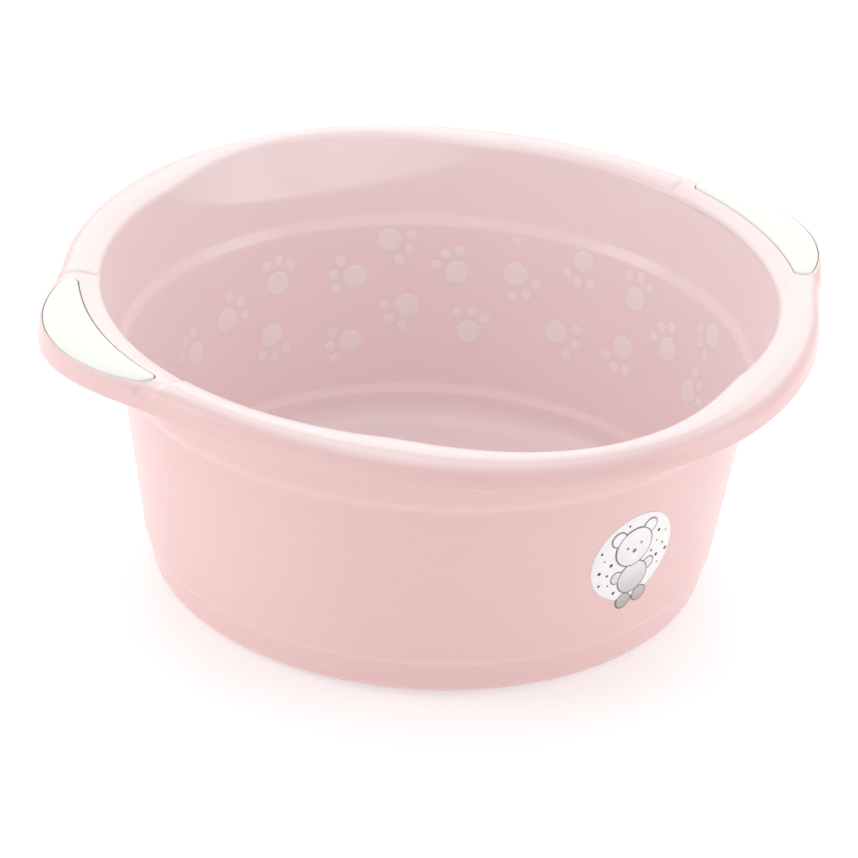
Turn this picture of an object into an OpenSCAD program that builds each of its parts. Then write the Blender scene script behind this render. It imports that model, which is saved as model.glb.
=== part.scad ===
// Round baby bathtub: one moulded shell with a rolled rim, two dips in the rim and two ears,
// each ear with a soft grip pegged into a recess. The origin is the centre of the foot ring's
// underside, +Z is up, the ears lie along X and the dips along Y. Millimetres and degrees.

/* [Bowl] */
// Inner radius at the lower edge of the upper step
step_r = 162.8; // [162:0.1:164]
// Height of the upper step's lower edge
step_z = 118; // [117:0.5:119.5]
// Inner radius at the lower edge of the lower step
low_step_r = 146.6; // [145.6:0.1:147.4]
// Height of the lower step's lower edge
low_step_z = 21; // [20:0.1:22.5]
// Width and height of the upper step
step_size = [3, 5.3]; // [2.6:0.1:5.6]
// Width and height of the lower step
low_step_size = [2.6, 4.4]; // [2:0.1:4.6]
// Thickness of the wall
wall = 2.2; // [2:0.1:2.6]
// Height of the floor's upper face
floor_z = 4; // [3.8:0.1:4.4]
// Height of the floor's lower face, inside and outside the foot ring
base_z = 1.5; // [1:0.1:1.7]
// Outer radius of the foot ring
foot_r = 129; // [127:0.5:129.5]
// Width of the foot ring
foot_w = 8; // [5:0.5:10]

/* [Rim] */
// Height of the rim's inner crest
crest_z = 162.9; // [162:0.1:163.4]
// Inner radius of the crest away from the dips
crest_r = 175.3; // [174:0.1:176.3]
// Height of the rim's outer shoulder
shoulder_z = 164; // [163:0.2:164.6]
// How much the rim's top face is crowned
rim_crown = 2; // [1.4:0.1:2.2]
// Outer radius of the skirt away from the dips and the ears
skirt_r = 197; // [196.6:0.1:198.4]
// Height of the skirt's lower edge
skirt_z = 152.2; // [151:0.2:153]
// Outward lean of the skirt over its height
skirt_lean = 1.4; // [1:0.1:1.5]

/* [Dips] */
// How far the crest moves out at the middle of a dip
dip_out = 14.6; // [12:0.1:15]
// How far the skirt moves out at the middle of a dip
dip_skirt_out = 11; // [10:0.5:13]
// Half angle of a dip at the crest
dip_half = 33; // [28:1:34]
// Half angle over which the skirt swells round a dip
dip_skirt_half = 60; // [50:1:60]
// How far below the crest a dip's hollow runs down the wall
dip_depth = 25.3; // [20:0.1:27]
// How far the rim's outer shoulder falls at the middle of a dip
dip_drop = 3.6; // [2:0.2:4]

/* [Ears and grips] */
// How far an ear stands out past the skirt
ear_out = 17.8; // [17.6:0.1:20]
// Half angle of an ear
ear_half = 26.5; // [26.5:0.5:30]
// Radius of the grip's inner edge
grip_in_r = 186.6; // [186:0.2:187.4]
// Radius of the grip's outer edge at its middle
grip_tip_r = 211.8; // [210:0.2:211.8]
// Width of the grip at each end
grip_end_w = 7.5; // [6.5:0.5:8]
// Half angle of the grip
grip_half = 18; // [16:0.5:18]
// Depth of the recess under the grip
grip_sink = 2.2; // [1.8:0.1:2.4]
// Gap round the grip
grip_gap = 0.6; // [0.3:0.05:0.6]
// Height of the grip's crown above the ear
grip_crown = 1; // [0.6:0.1:1.4]
// Radius of the grip's pegs and of their holes
peg_r = 2.5; // [2:0.1:3]
// How far the pegs reach below the rim's shoulder
peg_drop = 6; // [5:0.2:7]
// Angle between the pegs
peg_step = 11; // [9:0.5:12]
// Angles of the ribs that close an ear's finger space, from the ear's middle
rib_turns = [20.5, 31]; // [20:0.5:32]
// Thickness of a rib
rib = 1.6; // [1.2:0.1:2]

/* [Label] */
// Angle of the label round the bowl
label_turn = -75; // [-80:1:-70]
// Height of the label's centre
label_z = 74; // [70:0.5:80]
// Turn of the print on the film
label_spin = 8; // [-10:1:10]
// Radius of the round film
label_r = 26; // [24:0.5:28]
// Thickness of each printed film
film = 0.3; // [0.25:0.05:0.4]

/* [Paw prints] */
// Radius of a paw's main pad
paw_r = 7; // [6:0.1:7.4]
// Radius of a toe
toe_r = 3.1; // [2.4:0.1:3.4]
// Distance from the main pad's centre to a toe's centre
toe_reach = 12.8; // [11.4:0.1:13.2]
// Angle between neighbouring toes
toe_step = 38; // [35:1:42]

/* [Hidden] */

$fn = 96;
flip = 180;
slope = (step_r - low_step_r - low_step_size.x) / (step_z - low_step_z - low_step_size.y);
upper_r = step_r + step_size.x;
upper_z = step_z + step_size.y;
upper_slope = (crest_r - upper_r) / (crest_z - upper_z);
wall_lean = atan(slope);
// Angle from an ear's middle by which the edges of its recess have run out
recess_end = 24;
// Angles of the shell's columns, closer together at the ends of the recess
quarter = [0, 4, 8, 12, 15, 17, grip_half, grip_half + 0.3, 20, 22.5, 25.5, 28.5, 32, 36, 40, 44,
           48, 52, 56, 60, 64, 68, 72, 76, 80, 84, 87];
columns = [for (side = [0, flip])
              each concat([for (a = quarter) side + a], [side + 90],
                          [for (i = [len(quarter) - 1:-1:1]) side + flip - quarter[i]])];
// The grip's outer edge is an arc about a point on the handle axis
grip_end_r = grip_in_r + grip_end_w;
arc_x = (pow(grip_tip_r, 2) - pow(grip_end_r, 2)) / (2 * (grip_tip_r - grip_end_r * cos(grip_half)));
arc_r = grip_tip_r - arc_x;
// Space kept between the wall and the prints inside it, the label outside it, and film and ink
paw_gap = 0.12;
label_gap = 0.2;
ink_gap = 0.02;
// How far the outside of a step lies below its inside
step_shift = 0.6;
low_step_shift = 0.8;
// The printed bear's circles, each with its place across and up and its radius
bear_sides = [[10, 15.5, 4.8], [10.3, -9.5, 4], [5.2, -27, 5]];
bear = concat([[0, 6.5, 12], [0, -13.5, 10]],
              [for (c = bear_sides, side = [-1, 1]) [side * c[0], c[1], c[2]]]);
// Each paw: angle round the bowl, height and the way its toes point, counted from the right
paws = [[-19, 114, 140], [-2, 106, 219], [2, 68, 39], [11, 82, 130], [22, 100, 83], [23, 70, 253],
        [35, 110, 260], [39, 66, -18], [49, 94, -56], [54, 114, 36], [58, 57, 82], [61, 91, 125],
        [71, 71, 217], [75, 109, -25], [82, 89, 170], [83, 51, 185], [99, 92, 84], [101, 63, -85],
        [112, 80, 38], [122, 70, 131]];

// Angle from the nearer ear, and from the nearer dip
function from_ear(a) = abs((a + 450) % 180 - 90);
function from_dip(a) = 90 - from_ear(a);
// Swells of height 1: rounded, full and hollow
function swell(a, half) = a < half ? pow(cos(90 * a / half), 2) : 0;
function full_swell(a, half) = a < half ? pow(1 - pow(a / half, 2), 1.5) : 0;
function hollow(a, half) = a < half ? 1 - pow(a / half, 2) : 0;

function crest_at(a) = crest_r + dip_out * full_swell(from_dip(a), dip_half);
function skirt_at(a) = skirt_r + dip_skirt_out * swell(from_dip(a), dip_skirt_half)
                       + ear_out * swell(from_ear(a), ear_half);
function shoulder_at(a) = skirt_at(a) - skirt_lean;
function shoulder_height(a) = shoulder_z - dip_drop * swell(from_dip(a), dip_skirt_half);
// Height of the rim's crowned top face at a radius
function top_at(r, a) = let (k = (r - crest_at(a)) / (shoulder_at(a) - crest_at(a)))
    lerp(crest_z, shoulder_height(a), k) + rim_crown * 4 * k * (1 - k);
// Where a dip's hollow starts on the wall, and the wall's radius there
function hollow_z(a) = crest_z - 4.5 - (dip_depth - 4.5) * hollow(from_dip(a), dip_half);
function hollow_r(a) = upper_r + (hollow_z(a) - upper_z) * upper_slope;

// Recess of the ears: its inner and outer edges, and its depth
function grip_out(a) = arc_x * cos(a) + sqrt(pow(arc_r, 2) - pow(arc_x * sin(a), 2));
function recess_in(a) = from_ear(a) < recess_end ? grip_in_r - grip_gap
                                                : lerp(crest_at(a), shoulder_at(a), 0.35);
function recess_out(a) = from_ear(a) < recess_end ? max(grip_out(from_ear(a)) + grip_gap, grip_in_r + 4)
                                                 : lerp(crest_at(a), shoulder_at(a), 0.65);
function sink(a) = from_ear(a) <= grip_half + 0.01 ? grip_sink : 0;
// How far the underside of the rim is let down for the recess, as a share
function let_down(a) = max(0, min(1, (recess_end - from_ear(a)) / 5));

function lerp(a, b, k) = a + (b - a) * k;
function towards(p, q, d) = p + (q - p) * d / norm(q - p);
// A corner eased over a distance, as a quadratic curve of n lengths; no lengths leave it sharp
function eased(p, q, s, cut, n) =
    let (a = towards(q, p, cut), b = towards(q, s, cut))
    n == 0 ? [q] : [for (i = [0:n]) let (k = i / n) lerp(lerp(a, q, k), lerp(q, b, k), k)];
function xy(c) = [c[0], c[1]];
function eased_line(c) =
    [for (i = [1:len(c) - 2]) each eased(xy(c[i - 1]), xy(c[i]), xy(c[i + 1]), c[i][2], c[i][3])];

// The shell's section at an angle: radius, height, easing distance and lengths of each corner.
// It runs from the middle of the floor up the inside, over the rim and down the outside.
function section(a) = let (
        floor_r = low_step_r - (low_step_z - floor_z) * slope,
        in_r = recess_in(a),
        out_r = recess_out(a),
        top_r = lerp(crest_at(a) + 2, in_r, 0.5),
        middle_r = lerp(crest_at(a), shoulder_at(a), 0.5),
        down = let_down(a),
        e = 0.2)
    [[0, floor_z],
     [floor_r, floor_z, 12, 4],
     [low_step_r, low_step_z, 0.9, 1],
     [low_step_r + low_step_size.x, low_step_z + low_step_size.y, 0.9, 1],
     [step_r, step_z, 1.2, 1],
     [upper_r, upper_z, 1.2, 1],
     [hollow_r(a), hollow_z(a), 2, 2],
     [crest_at(a), crest_z, 2, 2],
     [top_r, top_at(top_r, a), 0, 0],
     [in_r, top_at(in_r, a), 0, 0],
     [in_r + e, top_at(in_r, a) - max(sink(a), e / 20), 0, 0],
     [out_r - e, top_at(out_r, a) - max(sink(a), e / 20), 0, 0],
     [out_r, top_at(out_r, a), 0, 0],
     [shoulder_at(a), shoulder_height(a), min(3.6, 0.85 * (shoulder_at(a) - out_r)), 3],
     [skirt_at(a), skirt_z, 0, 0],
     [skirt_at(a) - wall, skirt_z, 0, 0],
     [shoulder_at(a) - wall, shoulder_height(a) - wall - 1.8 * down, 1.6, 2],
     [middle_r, top_at(middle_r, a) - wall - grip_sink * down, 0, 0],
     [crest_at(a) + wall + 0.3, crest_z - wall - 0.7 - 0.6 * down, 1.2, 2],
     [hollow_r(a) + wall, hollow_z(a) - step_shift, 0, 0],
     [upper_r + wall, upper_z - step_shift, 0, 0],
     [step_r + wall, step_z - step_shift, 0, 0],
     [low_step_r + low_step_size.x + wall, low_step_z + low_step_size.y - low_step_shift, 0, 0],
     [low_step_r + wall, low_step_z - low_step_shift, 0, 0],
     [floor_r + wall, base_z, 8, 5],
     [0, base_z]];

module shell() {
    lines = [for (a = columns) let (s = eased_line(section(a)))
                [for (p = s) [p.x * cos(a), p.x * sin(a), p.y]]];
    n = len(columns);
    m = len(lines[0]);
    points = [for (l = lines) each l];
    skin = [for (i = [0:n - 1], j = [0:m - 2]) let (
                p = i * m + j, q = ((i + 1) % n) * m + j)
               each [[p, p + 1, q], [p + 1, q + 1, q]]];
    floor_cap = [for (i = [n - 1:-1:0]) i * m];
    base_cap = [for (i = [0:n - 1]) i * m + m - 1];
    polyhedron(points, concat(skin, [floor_cap, base_cap]));
}

// One ear's peg positions, from the middle of the ear's recess
module at_pegs() {
    for (a = [-peg_step, 0, peg_step])
        rotate(a)
            translate([(grip_in_r + grip_out(a)) / 2, 0, 0])
                children();
}

// Upright ribs between the wall and the skirt, under the rim's top face
module ribs() {
    low = skirt_z + 1;
    for (side = [0, flip], turn = rib_turns, way = [-1, 1]) let (
            a = side + way * turn,
            in_r = crest_r - 0.8,
            shoulder_r = crest_r + 5,
            out_r = skirt_at(a) - 1.9)
        rotate(a)
            rotate([90, 0, 0])
                translate([0, 0, -rib / 2])
                    linear_extrude(rib)
                        polygon([[in_r, low], [out_r, low], [out_r, shoulder_height(a) - 4],
                                 [out_r - 3, top_at(out_r - 3, a) - wall / 2],
                                 [shoulder_r, top_at(shoulder_r, a) - wall / 2], [in_r, crest_z - 5.5]]);
}

module tub() {
    color([0.93, 0.78, 0.79]) {
        difference() {
            shell();
            for (side = [0, flip])
                rotate(side)
                    at_pegs()
                        translate([0, 0, skirt_z])
                            cylinder(r = peg_r, h = 20);
        }
        ribs();
        difference() {
            cylinder(r = foot_r, h = base_z + 0.5);
            translate([0, 0, -1])
                cylinder(r = foot_r - foot_w, h = base_z + 3);
        }
    }
}

// A soft grip on the right ear: a crescent that follows the ear's top face, crowned across
module grip() {
    half = grip_half - 0.12;
    n = 28;
    m = 8;
    rise = [-0.3, 0.35, 0.75, 0.95, 1, 0.95, 0.75, 0.35, -0.3] * grip_crown;
    function at(i, j, up) = let (
            a = lerp(-half, half, i / n),
            r = lerp(grip_in_r, grip_out(a), j / m),
            end = min(1, min(i, n - i) / 2),
            z = up ? top_at(r, a) + rise[j] * end : top_at(r, a) - grip_sink + 0.05)
        [r * cos(a), r * sin(a), z];
    w = m + 1;
    top = [for (i = [0:n], j = [0:m]) at(i, j, true)];
    bottom = [for (i = [0:n], j = [0:m]) at(i, j, false)];
    k = len(top);
    faces = concat(
        [for (i = [0:n - 1], j = [0:m - 1]) let (p = i * w + j)
            each [[p, p + w, p + 1], [p + 1, p + w, p + w + 1]]],
        [for (i = [0:n - 1], j = [0:m - 1]) let (p = k + i * w + j)
            each [[p, p + 1, p + w], [p + 1, p + w + 1, p + w]]],
        [for (i = [0:n - 1]) let (p = i * w) each [[p, k + p, p + w], [k + p, k + p + w, p + w]]],
        [for (i = [0:n - 1]) let (p = i * w + m) each [[p, p + w, k + p], [k + p, p + w, k + p + w]]],
        [for (j = [0:m - 1]) each [[j, j + 1, k + j], [k + j, j + 1, k + j + 1]]],
        [for (j = [0:m - 1]) let (p = n * w + j) each [[p, k + p, p + 1], [k + p, k + p + 1, p + 1]]]);
    color([0.95, 0.96, 0.92]) {
        polyhedron(concat(top, bottom), faces);
        at_pegs()
            translate([0, 0, shoulder_z - peg_drop])
                cylinder(r = peg_r, h = peg_drop);
    }
}

module grip_left() {
    rotate(flip)
        grip();
}

module grip_right() {
    grip();
}

// Inner radius of the straight part of the wall at a height
function wall_r(z) = step_r + slope * (z - step_z);

// A thin cone between two heights, standing off the wall: the skin that every print is cut from
module skin(low, high, off) {
    rotate_extrude($fn = 180)
        polygon([[wall_r(low) + off, low], [wall_r(low) + off + film, low],
                 [wall_r(high) + off + film, high], [wall_r(high) + off, high]]);
}

// Puts a flat drawing on the outside of the wall, square to it
module on_outside(depth) {
    reach = 14;
    intersection() {
        skin(low_step_z + 8, step_z - 3, wall + label_gap + depth);
        rotate(label_turn)
            translate([wall_r(label_z) + wall, 0, label_z])
                rotate([90 + wall_lean, 0, 90])
                    translate([0, 0, -reach])
                        linear_extrude(2 * reach)
                            rotate(label_spin)
                                children();
    }
}

module label_film() {
    color([0.98, 0.98, 0.98])
        on_outside(0)
            circle(label_r);
}

// Loose dots over the film, left out where the figure stands
module label_dots() {
    turn = 137.5;
    count = 48;
    color([0.35, 0.33, 0.36])
        on_outside(film + ink_gap)
            for (i = [6:count - 1]) {
                reach = (label_r - 2) * sqrt(i / count);
                place = [reach * cos(turn * i), reach * sin(turn * i)];
                if (min([for (c = bear) norm(place - xy(c)) - c[2]]) > 1.8)
                    translate(place)
                        circle(0.5 + 0.25 * (i % 3), $fn = 24);
            }
}

// A plain standing bear drawn with circles only
module label_bear() {
    color([0.72, 0.7, 0.72])
        on_outside(film + ink_gap)
            for (c = bear)
                translate(xy(c))
                    circle(c[2]);
}

module paw() {
    circle(paw_r);
    for (a = [-toe_step, 0, toe_step])
        rotate(a)
            translate([toe_reach, 0])
                circle(toe_r, $fn = 32);
}

module paw_prints() {
    paw_depth = 12;
    color([0.95, 0.83, 0.84])
        intersection() {
            skin(low_step_z + low_step_size.y + 1, step_z - 1.5, -film - paw_gap);
            for (p = paws)
                rotate(p[0])
                    translate([wall_r(p[1]) - paw_depth, 0, p[1]])
                        rotate([90, 0, 90])
                            linear_extrude(2 * paw_depth)
                                mirror([1, 0])
                                    rotate(p[2])
                                        paw();
        }
}

tub();
grip_left();
grip_right();
label_film();
label_dots();
label_bear();
paw_prints();
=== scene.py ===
import math

import bmesh
import bpy
import numpy as np
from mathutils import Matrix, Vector


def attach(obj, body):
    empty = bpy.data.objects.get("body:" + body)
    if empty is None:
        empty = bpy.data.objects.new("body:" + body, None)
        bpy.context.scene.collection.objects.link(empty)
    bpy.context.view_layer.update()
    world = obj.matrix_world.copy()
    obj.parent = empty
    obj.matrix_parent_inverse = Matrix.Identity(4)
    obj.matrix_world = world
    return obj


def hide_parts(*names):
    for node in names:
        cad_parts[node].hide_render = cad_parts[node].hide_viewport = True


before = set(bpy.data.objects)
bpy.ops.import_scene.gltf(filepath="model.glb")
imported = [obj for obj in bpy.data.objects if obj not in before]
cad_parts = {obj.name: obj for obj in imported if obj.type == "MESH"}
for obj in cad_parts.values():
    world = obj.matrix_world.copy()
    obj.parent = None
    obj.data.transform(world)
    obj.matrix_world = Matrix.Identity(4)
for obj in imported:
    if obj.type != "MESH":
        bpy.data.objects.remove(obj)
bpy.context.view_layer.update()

# ---------------------------------------------------------------------------------------------
# Tub. One shell of pale pink polypropylene, injection moulded in one shot with its rolled rim,
# skirt, two ears, two dips and foot ring. The wall is 2.2 mm thick, leans outwards so that the
# tub leaves the mould, and has two small steps that stiffen it and stop a stack from jamming.

mm = 0.001
wall = 2.2 * mm
floor_z, base_z = 4 * mm, 1.5 * mm
foot_r, foot_w = 129 * mm, 8 * mm
low_step_r, low_step_z = 146.6 * mm, 21 * mm
low_ledge_r, low_ledge_z = 149.2 * mm, 25.4 * mm
step_r, step_z = 162.8 * mm, 118 * mm
ledge_r, ledge_z = 165.8 * mm, 123.3 * mm
crest_r, crest_z = 175.3 * mm, 162.9 * mm
shoulder_z, rim_crown = 164 * mm, 2 * mm
rim_edge = 4.5 * mm
skirt_r, skirt_z, skirt_lean = 197 * mm, 152.2 * mm, 1.4 * mm
dip_out, dip_half, dip_depth = 14.6 * mm, 33, 25.3 * mm
dip_skirt_out, dip_skirt_half, dip_drop = 11 * mm, 60, 3.6 * mm
ear_out, ear_half, ear_drop = 17.8 * mm, 26.5, 0.7 * mm
grip_in_r, grip_tip_r, grip_end_w = 186.6 * mm, 211.8 * mm, 7.5 * mm
grip_half, grip_sink, grip_gap = 18, 2.2 * mm, 0.6 * mm
ear_line = 20.4
rib_turns, rib_t = (20.5, 31), 1.6 * mm

wall_slope = (step_r - low_ledge_r) / (step_z - low_ledge_z)
rim_slope = (crest_r - ledge_r) / (crest_z - ledge_z)


def between(low, high, share):
    return low + (high - low) * share


def smooth(share):
    share = np.clip(share, 0, 1)
    return share * share * (3 - 2 * share)


def from_ear(turn):
    return np.abs((turn + 450) % 180 - 90)


def from_dip(turn):
    return 90 - from_ear(turn)


def swell(away, half):
    return np.where(away < half, np.cos(np.radians(90 * away / half)) ** 2, 0)


def crest_at(turn):
    share = np.clip(from_dip(turn) / dip_half, 0, 1)
    return crest_r + dip_out * (1 - share**2) ** 1.5


def skirt_at(turn):
    dips = dip_skirt_out * swell(from_dip(turn), dip_skirt_half)
    return skirt_r + dips + ear_out * swell(from_ear(turn), ear_half)


def shoulder_at(turn):
    return skirt_at(turn) - skirt_lean


def ear_fall(turn):
    """The ears lie a little lower than the rest of the rim, with a faint groove where they begin."""
    away = from_ear(turn)
    groove_depth, groove_half = 0.25 * mm, 0.5
    groove = groove_depth * np.exp(-(((away - ear_line) / groove_half) ** 2))
    fade = 0.7
    return ear_drop * (1 - smooth((away - ear_line + fade) / (2 * fade))) + groove


def shoulder_height(turn):
    return shoulder_z - dip_drop * swell(from_dip(turn), dip_skirt_half)


def top_height(r, turn):
    share = (r - crest_at(turn)) / (shoulder_at(turn) - crest_at(turn))
    crown = rim_crown * 4 * share * (1 - share)
    return between(crest_z, shoulder_height(turn), share) + crown - ear_fall(turn)


# The grip's outer edge is an arc about a point on the handle axis, and its ends are rounded
grip_end_r = grip_in_r + grip_end_w
half_turn = math.radians(grip_half)
arc_x = (grip_tip_r**2 - grip_end_r**2) / (2 * (grip_tip_r - grip_end_r * math.cos(half_turn)))
arc_r = grip_tip_r - arc_x


def grip_edges(turn, grow):
    away = from_ear(turn)
    lean = np.radians(np.minimum(away, 24))
    out = arc_x * np.cos(lean) + np.sqrt(arc_r**2 - (arc_x * np.sin(lean)) ** 2)
    middle = (grip_in_r + out) / 2
    last = grip_half + math.degrees(grow / grip_end_r)
    first = last - math.degrees(grip_end_w / 2 / grip_end_r)
    narrow = np.sqrt(np.clip(1 - np.clip((away - first) / (last - first), 0, 1) ** 2, 0, 1))
    half = ((out - grip_in_r) / 2 + grow) * narrow
    return middle, half, away < last


def eased(corners):
    """Rounds each corner of a section with a true arc. A corner is radius, height, ease, steps."""
    points = [np.stack(np.broadcast_arrays(r, z, turns)[:2], 1) for r, z, *_ in corners]
    lines = []
    for i, (_, _, ease, steps) in enumerate(corners):
        here = points[i]
        if not steps:
            lines.append(here)
            continue
        back = points[i - 1] - here
        ahead = points[i + 1] - here
        back /= np.linalg.norm(back, axis=1)[:, None]
        ahead /= np.linalg.norm(ahead, axis=1)[:, None]
        weight = np.sqrt((1 - (back * ahead).sum(1)) / 2)[:, None]
        ease = np.broadcast_to(ease, len(here))[:, None]
        for t in np.linspace(0, 1, steps + 1):
            a, b, c = (1 - t) ** 2, 2 * t * (1 - t) * weight, t * t
            lines.append((a * (here + back * ease) + b * here + c * (here + ahead * ease)) / (a + b + c))
    return lines


def held(lines, hold=1.2 * mm, longest=14 * mm):
    """Adds lines beside the ends of each long flat stretch, so that it stays flat when shaded."""
    out = [lines[0]]
    for low, high in zip(lines, lines[1:]):
        length = np.linalg.norm(high - low, axis=1).max()
        if length > 4 * hold:
            inner = np.linspace(hold / length, 1 - hold / length, 2 + int(length / longest))
            out += [between(low, high, share) for share in inner]
        out.append(high)
    return out


def mesh_piece(name, verts, faces, material, sharp=35):
    """Makes an object from points and faces, shaded smooth except at edges over that angle."""
    mesh = bpy.data.meshes.new(name)
    mesh.from_pydata([tuple(v) for v in verts], [], faces)
    bm = bmesh.new()
    bm.from_mesh(mesh)
    bmesh.ops.recalc_face_normals(bm, faces=bm.faces)
    for face in bm.faces:
        face.smooth = True
    for edge in bm.edges:
        edge.smooth = len(edge.link_faces) != 2 or edge.calc_face_angle(0) < math.radians(sharp)
    bm.to_mesh(mesh)
    bm.free()
    obj = bpy.data.objects.new(name, mesh)
    bpy.context.scene.collection.objects.link(obj)
    mesh.materials.append(material)
    return obj


def column_turns():
    """Angles round the tub: even ones, closer ones near the ends of the ears and of the grips."""
    last = grip_half + math.degrees(grip_gap / grip_end_r)
    tip = last - 1.15 + 1.15 * np.sin(np.linspace(0, math.pi / 2, 14))
    near = np.concatenate([np.arange(15, 24, 0.2), tip, [last + 0.03]])
    far = np.arange(0, 90.01, 0.75)
    quarter = np.concatenate([near, far[(far < 15) | (far > 24)]])
    all_round = np.concatenate([quarter, 180 - quarter, 180 + quarter, 360 - quarter]) % 360
    return np.unique(np.round(all_round, 4))


turns = column_turns()
away = from_ear(turns)
fall = ear_fall(turns)
crest, skirt, shoulder = crest_at(turns), skirt_at(turns), shoulder_at(turns)
shoulder_low = shoulder_height(turns)
floor_r = low_step_r - (low_step_z - floor_z) * wall_slope
hollow = np.where(from_dip(turns) < dip_half, 1 - (from_dip(turns) / dip_half) ** 2, 0)
hollow_z = crest_z - rim_edge - (dip_depth - rim_edge) * hollow
hollow_r = ledge_r + (hollow_z - ledge_z) * rim_slope

middle, half, in_recess = grip_edges(turns, grip_gap)
half = np.maximum(half, 0.05 * mm)
spread = smooth((away - grip_half) / 7)
recess_in = between(middle - half, between(crest, shoulder, 0.32), spread)
recess_out = between(middle + half, between(crest, shoulder, 0.58), spread)
sink = np.where(in_recess, grip_sink, 0)
lip = 0.12 * mm
recess_end = 24
let_down = np.clip((recess_end - away) / 5, 0, 1)
under_middle = top_height(between(crest, shoulder, 0.5), turns) - wall - grip_sink * let_down


def on_top(r, drop=0, ease=0, steps=0):
    return (r, top_height(r, turns) - drop, ease, steps)


corners = [
    (2 * mm, floor_z, 0, 0),
    (floor_r, floor_z, 13 * mm, 14),
    (low_step_r, low_step_z, 0.9 * mm, 4),
    (low_ledge_r, low_ledge_z, 0.9 * mm, 4),
    (step_r, step_z, 1.3 * mm, 5),
    (ledge_r, ledge_z, 1.3 * mm, 5),
    (hollow_r, hollow_z, 2.2 * mm, 6),
    (crest, crest_z - fall, 2.1 * mm, 9),
    on_top(between(crest + 2.3 * mm, recess_in, 0.4)),
    on_top(between(crest + 2.3 * mm, recess_in, 0.75)),
    on_top(recess_in - 0.5 * mm),
    on_top(recess_in),
    on_top(recess_in + lip, lip * (sink > 0)),
    on_top(recess_in + lip, sink),
    on_top(between(recess_in, recess_out, 0.5), sink),
    on_top(recess_out - lip, sink),
    on_top(recess_out - lip, lip * (sink > 0)),
    on_top(recess_out),
    (shoulder, shoulder_low - fall, np.minimum(5.5 * mm, 0.85 * (shoulder - recess_out)), 12),
    (skirt, skirt_z, 0.6 * mm, 4),
    (skirt - wall, skirt_z, 0.6 * mm, 4),
    (shoulder - wall, shoulder_low - wall - 1.8 * mm * let_down, 1.6 * mm, 5),
    (between(crest, shoulder, 0.5), under_middle, 1.6 * mm, 3),
    (crest + wall + 0.3 * mm, crest_z - wall - (0.7 + 0.6 * let_down) * mm, 1 * mm, 4),
    (hollow_r + wall, hollow_z - 0.6 * mm, 0.7 * mm, 2),
    (ledge_r + wall, ledge_z - 0.6 * mm, 1.3 * mm, 4),
    (step_r + wall, step_z - 0.6 * mm, 1.3 * mm, 4),
    (low_ledge_r + wall, low_ledge_z - 0.8 * mm, 0.9 * mm, 4),
    (low_step_r + wall, low_step_z - 0.8 * mm, 0.9 * mm, 4),
    (floor_r + wall, base_z, 8 * mm, 12),
    (foot_r, base_z, 0.4 * mm, 3),
    (foot_r, 0, 0.6 * mm, 3),
    (foot_r - foot_w, 0, 0.6 * mm, 3),
    (foot_r - foot_w, base_z, 0.4 * mm, 3),
    (5 * mm, base_z, 0.3 * mm, 2),
    (4 * mm, base_z - 0.7 * mm, 0.3 * mm, 2),
    (1 * mm, base_z - 0.7 * mm, 0, 0),
]
lines = np.stack(held(eased(corners)), 1)
count, per = lines.shape[:2]
angle = np.radians(turns)[:, None]
radius, height = lines[..., 0], lines[..., 1]
verts = np.stack([radius * np.cos(angle), radius * np.sin(angle), height], 2).reshape(-1, 3)
faces = [
    (i * per + j, i * per + j + 1, (i + 1) % count * per + j + 1, (i + 1) % count * per + j)
    for i in range(count)
    for j in range(per - 1)
]
faces += [[i * per for i in range(count)], [i * per + per - 1 for i in range(count)]]


def add_block(verts, faces, corners_8):
    start = len(verts)
    verts = np.concatenate([verts, corners_8])
    for face in ((0, 1, 2, 3), (7, 6, 5, 4), (0, 4, 5, 1), (1, 5, 6, 2), (2, 6, 7, 3), (3, 7, 4, 0)):
        faces.append([start + k for k in face])
    return verts


# Ribs under the rim, two at each end of an ear, from the wall to the skirt
for side in (0, 180):
    for rib_turn in rib_turns:
        for way in (-1, 1):
            turn = side + way * rib_turn
            in_r, out_r = crest_r - 0.8 * mm, float(skirt_at(turn)) - 1.9 * mm
            low, out_high, in_high = skirt_z + 1 * mm, shoulder_z - 4.5 * mm, crest_z - 5.5 * mm
            profile = ((in_r, low), (out_r, low), (out_r - 0.8 * mm, out_high), (in_r, in_high))
            out = Vector((math.cos(math.radians(turn)), math.sin(math.radians(turn)), 0))
            across = Vector((-out.y, out.x, 0)) * rib_t / 2
            block = [out * r + Vector((0, 0, z)) + across * s for s in (-1, 1) for r, z in profile]
            verts = add_block(verts, faces, np.array(block))


def coordinates(nodes):
    return nodes.new("ShaderNodeTexCoord").outputs["Object"]


def mottled(nodes, links, place, scale, colour, shade):
    """Blends two close tints with a soft noise of that scale."""
    cloud = nodes.new("ShaderNodeTexNoise")
    cloud.inputs["Scale"].default_value = scale
    cloud.inputs["Detail"].default_value = 3
    links.new(place, cloud.inputs["Vector"])
    tint = nodes.new("ShaderNodeMix")
    tint.data_type = "RGBA"
    tint.inputs[6].default_value = (*colour, 1)
    tint.inputs[7].default_value = (*shade, 1)
    links.new(cloud.outputs["Fac"], tint.inputs[0])
    return tint.outputs[2]


def uneven(nodes, links, place, scale, low, high, socket):
    """Feeds a socket with a noise of that scale that runs from low to high."""
    noise = nodes.new("ShaderNodeTexNoise")
    noise.inputs["Scale"].default_value = scale
    noise.inputs["Detail"].default_value = 4
    links.new(place, noise.inputs["Vector"])
    spread = nodes.new("ShaderNodeMapRange")
    spread.inputs["To Min"].default_value = low
    spread.inputs["To Max"].default_value = high
    links.new(noise.outputs["Fac"], spread.inputs["Value"])
    links.new(spread.outputs["Result"], socket)


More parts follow.
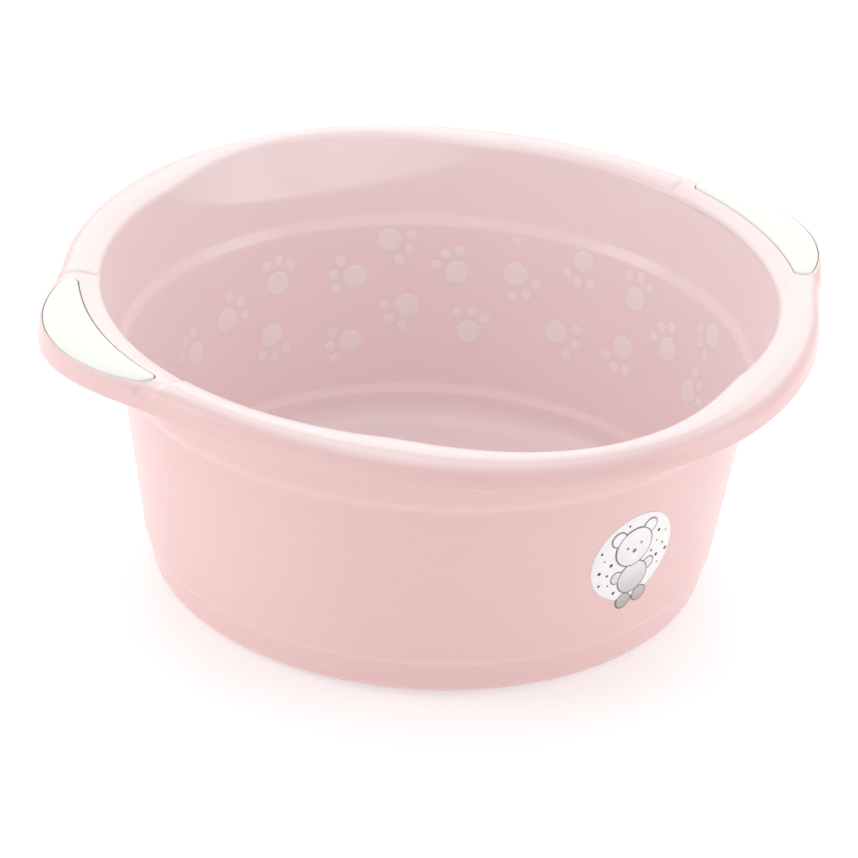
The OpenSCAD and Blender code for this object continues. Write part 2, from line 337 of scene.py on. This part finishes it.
def grained(nodes, links, place, scale, strength, shader):
    """Gives a surface a very fine relief of that scale."""
    peel = nodes.new("ShaderNodeTexNoise")
    peel.inputs["Scale"].default_value = scale
    peel.inputs["Detail"].default_value = 2
    links.new(place, peel.inputs["Vector"])
    bump = nodes.new("ShaderNodeBump")
    bump.inputs["Strength"].default_value = strength
    bump.inputs["Distance"].default_value = 0.1 * mm
    links.new(peel.outputs["Fac"], bump.inputs["Height"])
    links.new(bump.outputs["Normal"], shader.inputs["Normal"])


def new_material(name):
    material = bpy.data.materials.new(name)
    material.use_nodes = True
    nodes, links = material.node_tree.nodes, material.node_tree.links
    return material, nodes, links, nodes["Principled BSDF"]


def plastic_with_painted_sheen(name, outside, inside):
    """Glossy moulded plastic. Faces that look outwards show the plastic's own deeper tint; the other faces
    get a paler tint, a painted sheen for the white gloss they catch from the lights.
    """
    material, nodes, links, shader = new_material(name)
    where = nodes.new("ShaderNodeTexCoord")
    place = where.outputs["Object"]
    flatten = nodes.new("ShaderNodeVectorMath")
    flatten.operation = "MULTIPLY"
    flatten.inputs[1].default_value = (1, 1, 0)
    links.new(place, flatten.inputs[0])
    outward = nodes.new("ShaderNodeVectorMath")
    outward.operation = "NORMALIZE"
    links.new(flatten.outputs["Vector"], outward.inputs[0])
    facing = nodes.new("ShaderNodeVectorMath")
    facing.operation = "DOT_PRODUCT"
    links.new(outward.outputs["Vector"], facing.inputs[0])
    links.new(where.outputs["Normal"], facing.inputs[1])
    share = nodes.new("ShaderNodeMapRange")
    share.interpolation_type = "SMOOTHSTEP"
    share.inputs["From Min"].default_value = 0.1
    share.inputs["From Max"].default_value = 0.8
    links.new(facing.outputs["Value"], share.inputs["Value"])
    # Painted sheen: faces that do not look outwards take the paler tint, in place of the gloss they catch
    # from the lights
    blend = nodes.new("ShaderNodeMix")
    blend.data_type = "RGBA"
    links.new(share.outputs["Result"], blend.inputs[0])
    for pair, socket in ((inside, 6), (outside, 7)):
        links.new(mottled(nodes, links, place, 14, *pair), blend.inputs[socket])
    links.new(blend.outputs[2], shader.inputs["Base Color"])
    uneven(nodes, links, place, 45, 0.2, 0.27, shader.inputs["Roughness"])
    grained(nodes, links, place, 260, 0.12, shader)
    shader.inputs["IOR"].default_value = 1.49
    shader.inputs["Subsurface Weight"].default_value = 0.2
    shader.inputs["Subsurface Radius"].default_value = (1.0, 0.45, 0.4)
    shader.inputs["Subsurface Scale"].default_value = 4 * mm
    return material


# The first pair is the plastic's own colour; the second, paler pair is painted sheen for the inner faces
pink_plastic_with_painted_sheen = plastic_with_painted_sheen(
    "pink polypropylene with painted sheen",
    ((0.83, 0.59, 0.58), (0.81, 0.56, 0.55)),
    ((0.88, 0.73, 0.735), (0.865, 0.71, 0.71)),
)
tub = mesh_piece("tub_shell", verts, faces, pink_plastic_with_painted_sheen)
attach(tub, "root")
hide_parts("tub")

# ---------------------------------------------------------------------------------------------
# Grips. A soft off-white insert in a recess on each ear, moulded on its own and held by three
# pegs that pass through the ear. Its top is crowned and its edges are rolled under.

grip_rise, grip_roll = 0.45 * mm, 1.1 * mm
grip_crown, crown_fade = 0.8 * mm, 6 * mm
grip_clear = 0.05 * mm
peg_r, peg_step, peg_low = 2.5 * mm, 11, shoulder_z - 5.5 * mm
peg_ease, peg_sides = 0.5 * mm, 24


def grip_mesh(side):
    """One grip: a grid over its crowned top, the same grid on its flat underside, and its pegs."""
    last = grip_half - math.degrees(grip_clear / grip_end_r)
    ends = np.sin(np.linspace(-math.pi / 2, math.pi / 2, 120))
    lean = last * np.sign(ends) * np.abs(ends) ** 0.8
    across = np.sin(np.linspace(-math.pi / 2, math.pi / 2, 31))
    middle, half, _ = grip_edges(lean, -grip_clear)
    half = np.maximum(half, 0.02 * mm)[:, None]
    r = middle[:, None] + half * across
    turn = lean[:, None] + 0 * r
    edge = half * (1 - np.abs(across))
    roll = np.clip(1 - edge / grip_roll, 0, 1)
    rolled = grip_roll * (1 - np.sqrt(np.clip(1 - roll**2, 0, 1)))
    crown = grip_crown * (1 - across**2) * np.minimum(half / crown_fade, 1)
    top = top_height(r, turn) + grip_rise + crown - rolled
    bottom = top_height(r, turn) - grip_sink + grip_clear
    angle = np.radians(turn + side)
    verts = np.concatenate(
        [np.stack([r * np.cos(angle), r * np.sin(angle), z], 2).reshape(-1, 3) for z in (top, bottom)]
    )
    n, m = r.shape
    under = n * m
    faces = []
    for i in range(n - 1):
        for j in range(m - 1):
            p = i * m + j
            faces.append((p, p + 1, p + m + 1, p + m))
            faces.append((under + p, under + p + m, under + p + m + 1, under + p + 1))
    rim = [i * m for i in range(n)] + [(n - 1) * m + j for j in range(1, m)]
    rim += [i * m + m - 1 for i in range(n - 2, -1, -1)] + list(range(m - 2, 0, -1))
    for a, b in zip(rim, rim[1:] + rim[:1]):
        faces.append((a, b, under + b, under + a))
    for peg_turn in (-peg_step, 0, peg_step):
        middle = float(grip_edges(np.array([peg_turn]), 0)[0][0])
        at = np.radians(peg_turn + side)
        start = len(verts)
        rings = ((peg_r, shoulder_z - 1 * mm), (peg_r, peg_low + peg_ease), (peg_r - peg_ease, peg_low))
        about = np.arange(peg_sides) * 2 * math.pi / peg_sides
        for ring_r, z in rings:
            x = middle * np.cos(at) + ring_r * np.cos(about)
            y = middle * np.sin(at) + ring_r * np.sin(about)
            verts = np.concatenate([verts, np.stack([x, y, np.full_like(x, z)], 1)])
        for k in range(len(rings) - 1):
            for i in range(peg_sides):
                p = start + k * peg_sides + i
                q = start + k * peg_sides + (i + 1) % peg_sides
                faces.append((p, q, q + peg_sides, p + peg_sides))
        last_ring = start + (len(rings) - 1) * peg_sides
        faces += [[ring + i for i in range(peg_sides)] for ring in (start, last_ring)]
    return verts, faces


def soft_rubber(name, colour, shade):
    """Soft-touch rubber: matt, with a very fine grain and a faint unevenness of its tint."""
    material, nodes, links, shader = new_material(name)
    place = coordinates(nodes)
    links.new(mottled(nodes, links, place, 60, colour, shade), shader.inputs["Base Color"])
    uneven(nodes, links, place, 1600, 0.42, 0.6, shader.inputs["Roughness"])
    grained(nodes, links, place, 1600, 0.35, shader)
    shader.inputs["IOR"].default_value = 1.5
    return material


white_rubber = soft_rubber("off-white soft rubber", (0.90, 0.91, 0.86), (0.87, 0.88, 0.83))
for name, side in (("right", 0), ("left", 180)):
    grip = mesh_piece(f"soft_grip_{name}", *grip_mesh(side), white_rubber, sharp=60)
    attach(grip, "root")
    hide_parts(f"grip_{name}")

# ---------------------------------------------------------------------------------------------
# Label film. A round white self-adhesive film, 52 mm across, smoothed on to the outside of the
# wall to the right of the front, and bent to the wall's curve.

label_turn, label_z, label_r = -75, 74 * mm, 26 * mm
label_spin = math.radians(8)
film_low, film_high = 0.1 * mm, 0.4 * mm
ink_low, dot_high = film_high - 0.1 * mm, film_high + 0.05 * mm


def lay_on_wall(across, up, turn, height, off, lean):
    """Puts points of a flat drawing on the wall, square to it, and that far out from its inside."""
    around = math.radians(turn)
    flat_out = np.array([math.cos(around), math.sin(around), 0])
    out = np.array([*(flat_out[:2] * math.cos(lean)), -math.sin(lean)])
    rise = np.array([*(flat_out[:2] * math.sin(lean)), math.cos(lean)])
    side = np.array([-flat_out[1], flat_out[0], 0])
    start = flat_out * (step_r + wall_slope * (height - step_z)) + np.array([0, 0, height])
    points = start + across[:, None] * side + up[:, None] * rise
    # Each pass moves the points straight in or out until they meet the leaning, curved wall
    for _ in range(9):
        face_r = step_r + wall_slope * (points[:, 2] - step_z)
        points += (face_r + off - np.hypot(points[:, 0], points[:, 1]))[:, None] * out
    return points


def thin_discs(spots, turn, height, base, low, high, lean=0.0, spin=0.0, steps=56):
    """Thin closed discs with a softened edge. A spot is across, up, radius; base is the wall face."""
    verts, faces = np.zeros((0, 3)), []
    round_about = np.arange(steps) * 2 * math.pi / steps
    for x, y, r in spots:
        soft = min(abs(high - low) * 0.6, 0.1 * r)
        face = high - math.copysign(soft * 0.5, high - low)
        rings = ((0.35 * r, high), (0.7 * r, high), (r - soft, high), (r, face), (r, low))
        across = [np.array([x])] + [x + ring * np.cos(round_about) for ring, _ in rings] + [np.array([x])]
        up = [np.array([y])] + [y + ring * np.sin(round_about) for ring, _ in rings] + [np.array([y])]
        off = [[high]] + [[z] * steps for _, z in rings] + [[low]]
        across, up, off = np.concatenate(across), np.concatenate(up), base + np.concatenate(off)
        turned = across * math.cos(spin) - up * math.sin(spin)
        up = across * math.sin(spin) + up * math.cos(spin)
        start = len(verts)
        verts = np.concatenate([verts, lay_on_wall(turned, up, turn, height, off, lean)])
        last = start + 1 + len(rings) * steps
        for i in range(steps):
            p, q = start + 1 + i, start + 1 + (i + 1) % steps
            faces.append((start, p, q))
            for k in range(len(rings) - 1):
                low_ring, next_ring = k * steps, (k + 1) * steps
                faces.append((p + low_ring, p + next_ring, q + next_ring, q + low_ring))
            faces.append((last, q + (len(rings) - 1) * steps, p + (len(rings) - 1) * steps))
    return verts, faces


def on_label(spots, low, high):
    return thin_discs(spots, label_turn, label_z, wall, low, high, math.atan(wall_slope), label_spin)


def printed_film(name, colour, shade, roughness, scale=90):
    """Smooth printed film: its tint mottles faintly and its gloss is a little uneven."""
    material, nodes, links, shader = new_material(name)
    place = coordinates(nodes)
    links.new(mottled(nodes, links, place, scale, colour, shade), shader.inputs["Base Color"])
    uneven(nodes, links, place, 300, roughness * 0.85, roughness * 1.15, shader.inputs["Roughness"])
    grained(nodes, links, place, 900, 0.08, shader)
    return material


white_film = printed_film("white label film", (0.93, 0.925, 0.925), (0.915, 0.905, 0.905), 0.35)
label_film = mesh_piece("label_disc", *on_label([(0, 0, label_r)], film_low, film_high), white_film)
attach(label_film, "root")
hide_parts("label_film")

# ---------------------------------------------------------------------------------------------
# Dots on the label. Loose round dots of three sizes in dark ink, printed all over the film and
# left out where the bear stands.

# The bear's circles, a row for each pair or single one: across, up, radius, in millimetres
bear_feet = [(-5.2, -27, 5), (5.2, -27, 5)]
bear_arms = [(-10.3, -9.5, 4), (10.3, -9.5, 4)]
bear_body = [(0, -13.5, 10)]
bear_ears = [(-10, 15.5, 4.8), (10, 15.5, 4.8)]
bear_head = [(0, 6.5, 12)]
bear = bear_feet + bear_arms + bear_body + bear_ears + bear_head
bear_margin = 1.8
dot_turn, dot_count = math.radians(137.5), 48
dots = []
for i in range(6, dot_count):
    reach = (label_r / mm - 2) * math.sqrt(i / dot_count)
    x, y = reach * math.cos(dot_turn * i), reach * math.sin(dot_turn * i)
    if min(math.hypot(x - a, y - b) - r for a, b, r in bear) > bear_margin:
        dots.append((x * mm, y * mm, (0.5 + 0.25 * (i % 3)) * mm))
dark_ink = printed_film("dark ink", (0.035, 0.03, 0.033), (0.09, 0.085, 0.09), 0.5, 240)
label_dots = mesh_piece("label_spots", *on_label(dots, ink_low, dot_high), dark_ink)
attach(label_dots, "root")
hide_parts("label_dots")

# ---------------------------------------------------------------------------------------------
# Bear on the label. A plain standing bear printed in greys, drawn with circles only: each part is
# a grey outline with a paler disc on it. Its feet stand a little past the film's lower edge.

bear_line = 0.6
bear_layer, feet_low = 0.03 * mm, 0.05 * mm
bear_parts = (
    (bear_feet, "body"),
    (bear_arms, "body"),
    (bear_body, "body"),
    (bear_ears, "head"),
    (bear_head, "head"),
)
bear_face = (([(0, 2.6, 4.4)], "muzzle"), ([(-4.4, 7.4, 0.8), (4.4, 7.4, 0.8), (0, 4.1, 1.4)], "line"))


def shaded_ink(name, top, foot, low, high):
    """Grey crayon tint that deepens down the figure, with the grain of a crayon."""
    material, nodes, links, shader = new_material(name)
    place = coordinates(nodes)
    split = nodes.new("ShaderNodeSeparateXYZ")
    links.new(place, split.inputs["Vector"])
    share = nodes.new("ShaderNodeMapRange")
    share.inputs["From Min"].default_value = low
    share.inputs["From Max"].default_value = high
    links.new(split.outputs["Z"], share.inputs["Value"])
    blend = nodes.new("ShaderNodeMix")
    blend.data_type = "RGBA"
    links.new(share.outputs["Result"], blend.inputs[0])
    for colour, socket in ((foot, 6), (top, 7)):
        paler = [min(c * 1.08, 0.95) for c in colour]
        links.new(mottled(nodes, links, place, 420, colour, paler), blend.inputs[socket])
    links.new(blend.outputs[2], shader.inputs["Base Color"])
    uneven(nodes, links, place, 500, 0.4, 0.5, shader.inputs["Roughness"])
    return material


head_range = (label_z, label_z + 14 * mm)
body_range = (label_z - 31 * mm, label_z - 6 * mm)
bear_inks = {
    "line": printed_film("grey outline", (0.16, 0.15, 0.15), (0.24, 0.23, 0.23), 0.45, 500),
    "head": shaded_ink("pale head tint", (0.90, 0.89, 0.90), (0.84, 0.81, 0.82), *head_range),
    "body": shaded_ink("grey body tint", (0.84, 0.79, 0.81), (0.42, 0.40, 0.39), *body_range),
    "muzzle": printed_film("muzzle tint", (0.93, 0.92, 0.92), (0.91, 0.89, 0.89), 0.45, 300),
}


def bear_piece(name, spots, ink, level, low):
    """One printed part of the bear, a layer above the part before it."""
    spots = [(x * mm, y * mm, r * mm) for x, y, r in spots]
    high = film_high + (level + 1) * bear_layer
    piece = mesh_piece(name, *on_label(spots, low, high), bear_inks[ink])
    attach(piece, "root")
    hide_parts("label_bear")


level = 0
for spots, ink in bear_parts:
    low = feet_low if spots == bear_feet else ink_low
    bear_piece(f"bear_line_{level}", spots, "line", level, low)
    inner = [(x, y, r - bear_line) for x, y, r in spots]
    bear_piece(f"bear_fill_{level}", inner, ink, level + 1, low)
    level += 2
for spots, ink in bear_face:
    bear_piece(f"bear_face_{level}", spots, ink, level, ink_low)
    level += 1

# ---------------------------------------------------------------------------------------------
# Paw prints. Thin prints on the inside of the wall, a shade paler than the plastic: each one is a
# round pad with three toes. They lie at odd angles, as if a small bear had walked over the wall.

paw_r, toe_r, toe_reach, toe_step = 7 * mm, 3.1 * mm, 12.8 * mm, 38
# A pad or toe that would pass the step is drawn smaller, and left out below a share of its size
paw_top, least_share = step_z - 1.6 * mm, 0.6
paw_low, paw_high = -0.01 * mm, -0.06 * mm
# Angle round the tub, height in millimetres, and the way the toes point
paws = (
    (-19, 114, 140), (-2, 106, 219), (2, 68, 39), (11, 82, 130), (22, 100, 83), (23, 70, 253),
    (35, 110, 260), (39, 66, -18), (49, 94, -56), (54, 114, 36), (58, 57, 82), (61, 91, 125),
    (71, 71, 217), (75, 109, -25), (82, 89, 170), (83, 51, 185), (99, 92, 84), (101, 63, -85),
    (112, 80, 38), (122, 70, 131),
)
paw_verts, paw_faces = np.zeros((0, 3)), []
for turn, height, way in paws:
    spots = [(0, 0, paw_r)]
    for step in (-1, 0, 1):
        point = math.radians(way + step * toe_step)
        spots.append((-toe_reach * math.cos(point), toe_reach * math.sin(point), toe_r))
    room = paw_top - height * mm
    spots = [(x, y, min(r, room - y)) for x, y, r in spots if room - y > least_share * r]
    verts, faces = thin_discs(spots, turn, height * mm, 0, paw_low, paw_high)
    paw_faces += [[len(paw_verts) + k for k in face] for face in faces]
    paw_verts = np.concatenate([paw_verts, verts])
paw_film = printed_film("pale paw print", (0.91, 0.80, 0.805), (0.895, 0.785, 0.79), 0.3)
paw_prints = mesh_piece("paw_discs", paw_verts, paw_faces, paw_film)
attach(paw_prints, "root")
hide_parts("paw_prints")

# ---------------------------------------------------------------------------------------------
# Floor, light and camera. A plain pale floor that glows a little and runs up behind the tub, and
# wide soft lights above it, behind it and at each side, as in a small product studio.

floor_material = bpy.data.materials.new("studio floor")
floor_material.use_nodes = True
floor_shader = floor_material.node_tree.nodes["Principled BSDF"]
floor_shader.inputs["Base Color"].default_value = (0.85, 0.85, 0.85, 1)
floor_shader.inputs["Emission Color"].default_value = (1, 1, 1, 1)
floor_shader.inputs["Emission Strength"].default_value = 0.3
floor_shader.inputs["Roughness"].default_value = 0.7
sweep = [(-3, 0), (2, 0)]
sweep += [(2 + math.sin(t), 1 - math.cos(t)) for t in np.linspace(0.1, math.pi / 2, 14)]
sweep += [(3, 4)]
floor_turn = math.radians(25.6)
forward = Vector((math.sin(floor_turn), math.cos(floor_turn), 0))
sideways = Vector((forward.y, -forward.x, 0))
floor_verts = [forward * d + sideways * s + Vector((0, 0, z)) for d, z in sweep for s in (-5, 5)]
floor_faces = [(2 * i, 2 * i + 1, 2 * i + 3, 2 * i + 2) for i in range(len(sweep) - 1)]
floor = mesh_piece("studio_floor", floor_verts, floor_faces, floor_material)

world = bpy.data.worlds.new("studio")
bpy.context.scene.world = world
world.use_nodes = True
world.node_tree.nodes["Background"].inputs["Color"].default_value = (1, 1, 1, 1)
world.node_tree.nodes["Background"].inputs["Strength"].default_value = 0.66


def soft_light(name, turn, height, distance, size, power, aim=(0, 0, 0.08)):
    data = bpy.data.lights.new(name, "AREA")
    data.shape = "RECTANGLE"
    data.size, data.size_y = size
    data.energy = power
    light = bpy.data.objects.new(name, data)
    at = Vector((distance * math.sin(math.radians(turn)), -distance * math.cos(math.radians(turn)), height))
    light.location = at
    light.rotation_euler = (Vector(aim) - at).to_track_quat("-Z", "Y").to_euler()
    bpy.context.scene.collection.objects.link(light)
    return light


soft_light("top light", -25.6, 1.6, 0.2, (1.6, 1.2), 5)
soft_light("left light", -105, 0.7, 1.4, (0.7, 1.2), 5)
soft_light("right light", 60, 0.6, 1.4, (0.7, 1.2), 4)
soft_light("back light", 154.4, 1.05, 1.6, (2.4, 1.0), 7.5)

# The camera stands two metres away with a long lens, and leans a little to one side
view_turn, view_height, view_roll = -25.586, 28.07, 2.94
view_far, view_aim = 2.001, Vector((-0.0018, 0.0009, 0.0753))
camera_data = bpy.data.cameras.new("camera")
camera_data.sensor_width = 36
camera_data.lens = 159.16
camera = bpy.data.objects.new("camera", camera_data)
flat = view_far * math.cos(math.radians(view_height))
rise = view_far * math.sin(math.radians(view_height))
turned = math.radians(view_turn)
camera.location = view_aim + Vector((flat * math.sin(turned), -flat * math.cos(turned), rise))
camera.rotation_euler = (view_aim - camera.location).to_track_quat("-Z", "Y").to_euler()
camera.rotation_euler.rotate_axis("Z", math.radians(view_roll))
bpy.context.scene.collection.objects.link(camera)
bpy.context.scene.camera = camera
bpy.context.scene.view_settings.view_transform = "Standard"
